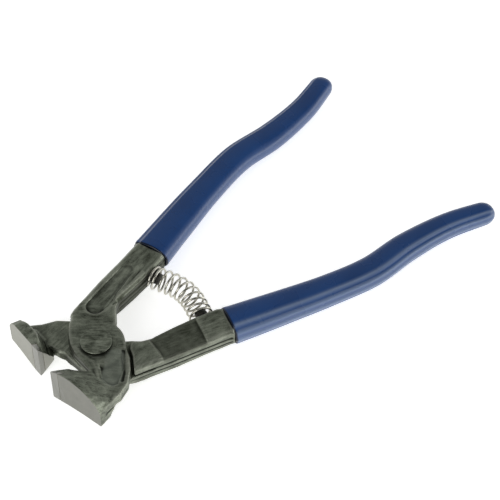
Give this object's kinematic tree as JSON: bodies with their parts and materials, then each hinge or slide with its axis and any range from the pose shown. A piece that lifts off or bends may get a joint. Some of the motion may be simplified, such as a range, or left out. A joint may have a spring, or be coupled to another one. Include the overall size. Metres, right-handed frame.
{
  "type": "tile nippers",
  "caption": "Hand nippers for trimming ceramic tile: two forged lever halves riveted in a lap joint, brazed carbide edges, bowed coil return spring and dipped handles.",
  "frame": {"origin": "on the pivot axis, on the rivet head's flat top", "axes": "+X along the tool from the jaws to the handles, +Z along the pivot axis out of the rivet head, +Y to the front half's arm"},
  "size_m": [0.2016, 0.1164, 0.0204],
  "materials": {
    "forged_steel": "dark forged steel with a brushed grain",
    "carbide": "ground light grey carbide",
    "braze_metal": "thin seam of filler metal",
    "rivet_steel": "dark flattened rivet head",
    "blue_plastisol": "glossy blue dipped coating",
    "spring_wire": "bright nickel-plated wire",
    "peg_steel": "blackened steel"
  },
  "bodies": {
    "front_lever": {"front_half": "forged_steel", "front_tip": "carbide", "front_braze": "braze_metal", "front_grip": "blue_plastisol", "front_spring_peg": "peg_steel", "pivot_rivet": "rivet_steel", "return_spring": "spring_wire"},
    "rear_lever": {"rear_half": "forged_steel", "rear_tip": "carbide", "rear_braze": "braze_metal", "rear_grip": "blue_plastisol", "rear_spring_peg": "peg_steel"}
  },
  "joints": [
    {"name": "pivot", "type": "hinge", "parent": "front_lever", "child": "rear_lever", "pos_m": [0, 0, 0], "axis": [0, 0, 1], "range_deg": [-3, 28], "deforming": ["return_spring"]}
  ]
}
